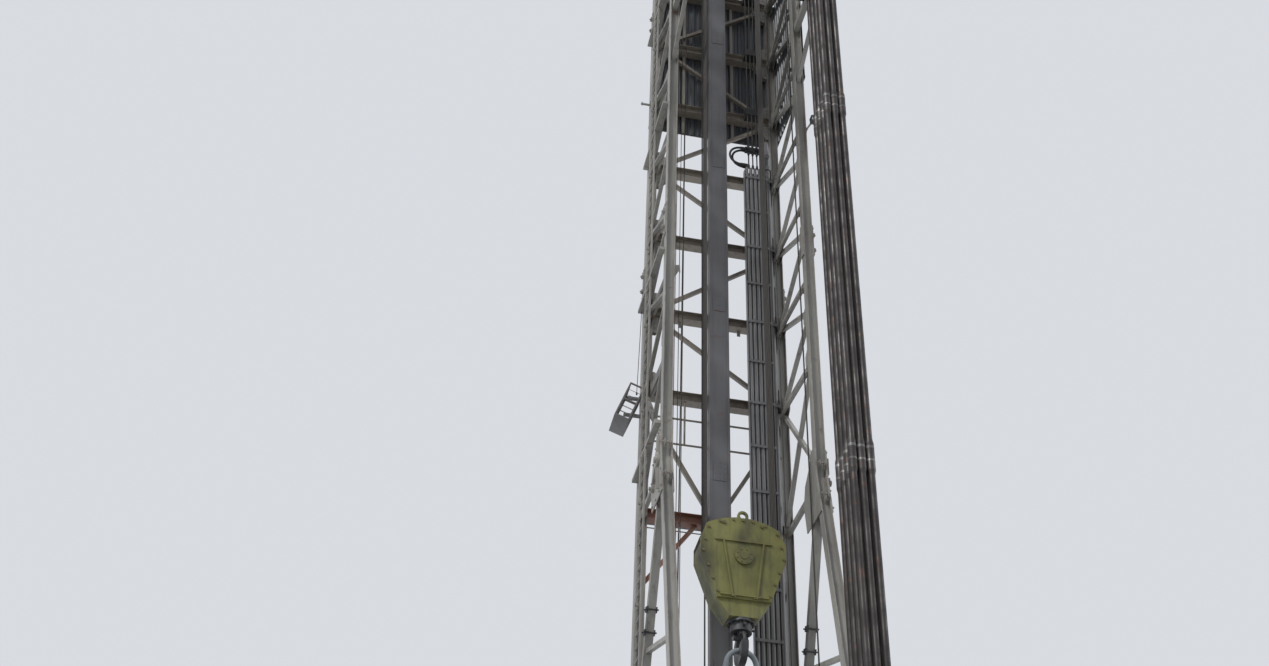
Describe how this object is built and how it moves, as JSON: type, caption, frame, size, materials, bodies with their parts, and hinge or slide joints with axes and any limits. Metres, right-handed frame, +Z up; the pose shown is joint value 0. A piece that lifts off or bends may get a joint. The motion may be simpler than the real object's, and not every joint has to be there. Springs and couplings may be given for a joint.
{
  "type": "oil drilling rig, 1:2 scale model",
  "caption": "Land drilling rig at half scale: open-front lattice mast on a raised floor, with crown, racking board, racked pipe, drawworks and a travelling block that hoists.",
  "frame": {"origin": "on the ground under the well centre, at the centre of the base", "axes": "+Z up, -Y towards the open front of the mast where pipe comes in, +X to the right when looking along +Y"},
  "size_m": [5.4, 5.6, 25.52],
  "materials": {
    "mast_steel": "weathered grey paint with rust at the joints",
    "substructure_steel": "weathered grey paint",
    "deck_plate": "worn checkered plate and grating",
    "rail_paint": "scuffed yellow paint",
    "timber": "oiled hardwood planks",
    "dark_steel": "greasy dark steel",
    "sheave_steel": "greased steel, bright in the grooves",
    "primer_red": "faded red primer",
    "wall_sheet": "dark ribbed sheet",
    "pipe_steel": "scaled dark pipe with worn tool joints",
    "wire_rope": "greased wire rope",
    "block_paint": "chipped olive yellow paint",
    "machine_paint": "grey machine paint",
    "hose_rubber": "black rubber hose"
  },
  "bodies": {
    "rig": {"substructure_left": "substructure_steel", "substructure_right": "substructure_steel", "front_spreader": "substructure_steel", "rear_spreader": "substructure_steel", "front_floor_girder": "substructure_steel", "rear_floor_girder": "substructure_steel", "rotary_beams": "substructure_steel", "rig_floor": "deck_plate", "rotary_table": "dark_steel", "setback_mats": "timber", "floor_rail_left": "rail_paint", "floor_rail_right": "rail_paint", "floor_rail_back": "rail_paint", "floor_rail_front": "rail_paint", "mast_shoes": "mast_steel", "rear_leg_left": "mast_steel", "rear_leg_right": "mast_steel", "front_leg_left": "mast_steel", "front_leg_right": "mast_steel", "front_foot_left": "mast_steel", "front_foot_right": "mast_steel", "knee_gussets": "mast_steel", "base_panel_left": "mast_steel", "base_panel_right": "mast_steel", "side_panel_left": "mast_steel", "side_panel_right": "mast_steel", "back_panel": "mast_steel", "knee_girt": "primer_red", "ladder": "mast_steel", "crown_frame": "mast_steel", "crown_sheaves": "sheave_steel", "crown_platform": "deck_plate", "board_frame": "mast_steel", "fingers_left": "dark_steel", "fingers_right": "dark_steel", "board_walkway": "deck_plate", "windwall_back": "wall_sheet", "windwall_right": "wall_sheet", "guide_beam": "mast_steel", "service_tray": "mast_steel", "service_lines": "hose_rubber", "standpipe": "mast_steel", "stabbing_basket": "mast_steel", "racked_stands": "pipe_steel", "drawworks": "machine_paint", "drawworks_drum": "dark_steel", "lead_lines": "wire_rope", "dead_line_anchor": "machine_paint", "drill_lines": "wire_rope"},
    "travelling_block": {"block_frame": "block_paint", "block_sheaves": "sheave_steel", "block_hook": "dark_steel", "bail": "machine_paint", "top_drive": "block_paint", "guide_dolly": "machine_paint", "links_and_elevator": "dark_steel"}
  },
  "joints": [
    {"name": "block_hoist", "type": "slide", "parent": "rig", "child": "travelling_block", "axis": [0, 0, 1], "range_m": [-0.3, 14.3], "deforming": ["drill_lines"]}
  ]
}
